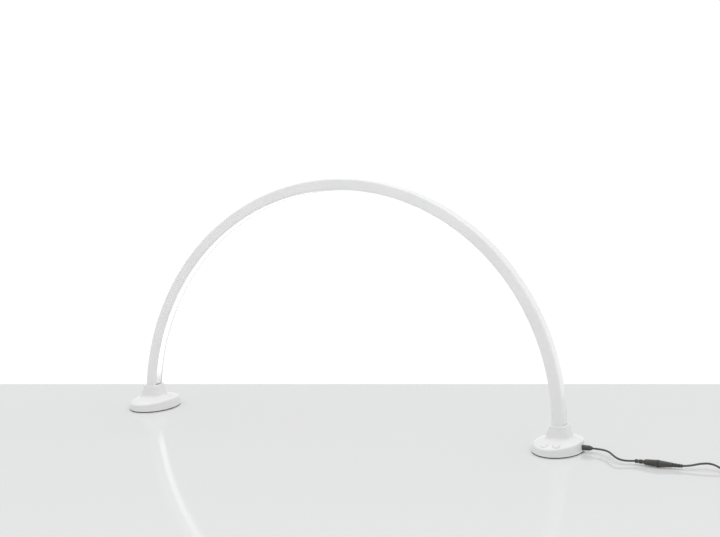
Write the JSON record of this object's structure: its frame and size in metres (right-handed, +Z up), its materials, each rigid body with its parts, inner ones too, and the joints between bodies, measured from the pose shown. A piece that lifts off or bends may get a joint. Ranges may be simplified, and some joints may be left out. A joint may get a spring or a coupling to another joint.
{
  "type": "table lamp",
  "caption": "Table-top arch lamp: a half-round white LED bow on two oval weighted feet, with two push buttons and a corded wall adapter.",
  "frame": {"origin": "on the table, midway between the two feet", "axes": "+X along the span towards the foot with the controls and the cord, -Y towards the user, +Z up"},
  "size_m": [1.137, 0.111, 0.4067],
  "materials": {
    "bow_enamel": "satin white powder coat on the aluminium channel",
    "opal_diffuser": "opal extruded strip, lit from behind by the LEDs",
    "foot_shell_white": "white moulded shell, soft gloss",
    "button_white": "white push button",
    "sole_rubber": "dark grey non-slip sole",
    "plate_steel": "zinc-plated steel",
    "weight_iron": "cast ballast",
    "inner_plastic": "natural moulded inner parts",
    "circuit_board": "white solder mask",
    "led_phosphor": "phosphor-coated LED packages",
    "board_parts": "black component bodies",
    "wire_red": "red insulated wire",
    "wire_black": "black insulated wire",
    "cord_jacket": "dark grey flexible cord jacket",
    "connector_overmould": "dark grey over-moulded connector",
    "contact_metal": "nickel-plated contacts",
    "adapter_case": "black fine-textured adapter case"
  },
  "bodies": {
    "root": {"arch_channel": "bow_enamel", "arch_diffuser": "opal_diffuser", "board_components": "board_parts", "board_screws": "plate_steel", "captive_cord": "cord_jacket", "control_board": "circuit_board", "cord_bush": "connector_overmould", "dimmer_switch": "board_parts", "inline_socket": "connector_overmould", "inline_socket_pin": "contact_metal", "inner_lead": "cord_jacket", "led_chips": "led_phosphor", "led_strip_board": "circuit_board", "led_wire_black": "wire_black", "led_wire_red": "wire_red", "left_arch_end_plug": "inner_plastic", "left_arch_screws": "plate_steel", "left_foot_pad": "sole_rubber", "left_foot_plate": "plate_steel", "left_foot_shell": "foot_shell_white", "left_foot_weight": "weight_iron", "left_plate_screws": "plate_steel", "power_switch": "board_parts", "right_arch_end_plug": "inner_plastic", "right_arch_screws": "plate_steel", "right_foot_pad": "sole_rubber", "right_foot_plate": "plate_steel", "right_foot_shell": "foot_shell_white", "right_foot_weight": "weight_iron", "right_plate_screws": "plate_steel"},
    "power_button": {"power_button_cap": "button_white", "power_switch_plunger": "inner_plastic"},
    "dimmer_button": {"dimmer_button_cap": "button_white", "dimmer_switch_plunger": "inner_plastic"},
    "supply_lead": {"inline_plug": "connector_overmould", "inline_plug_barrel": "contact_metal", "supply_cord": "cord_jacket", "supply_coil": "cord_jacket", "coil_tie": "adapter_case", "supply_tail": "cord_jacket", "adapter_base": "adapter_case", "adapter_cover": "adapter_case", "adapter_pins": "contact_metal", "adapter_relief": "adapter_case", "adapter_board": "circuit_board", "adapter_transformer": "board_parts", "adapter_capacitors": "board_parts"}
  },
  "joints": [
    {"name": "power_button_press", "type": "slide", "parent": "root", "child": "power_button", "axis": [0, 0, -1], "range_m": [0, 0.0006], "stiffness_N_per_m": 400, "springref_m": -0.0005},
    {"name": "dimmer_button_press", "type": "slide", "parent": "root", "child": "dimmer_button", "axis": [0, 0, -1], "range_m": [0, 0.0006], "stiffness_N_per_m": 400, "springref_m": -0.0005},
    {"name": "supply_plug_pull", "type": "slide", "parent": "root", "child": "supply_lead", "axis": [1, 0, 0], "range_m": [0, 0.01]}
  ]
}
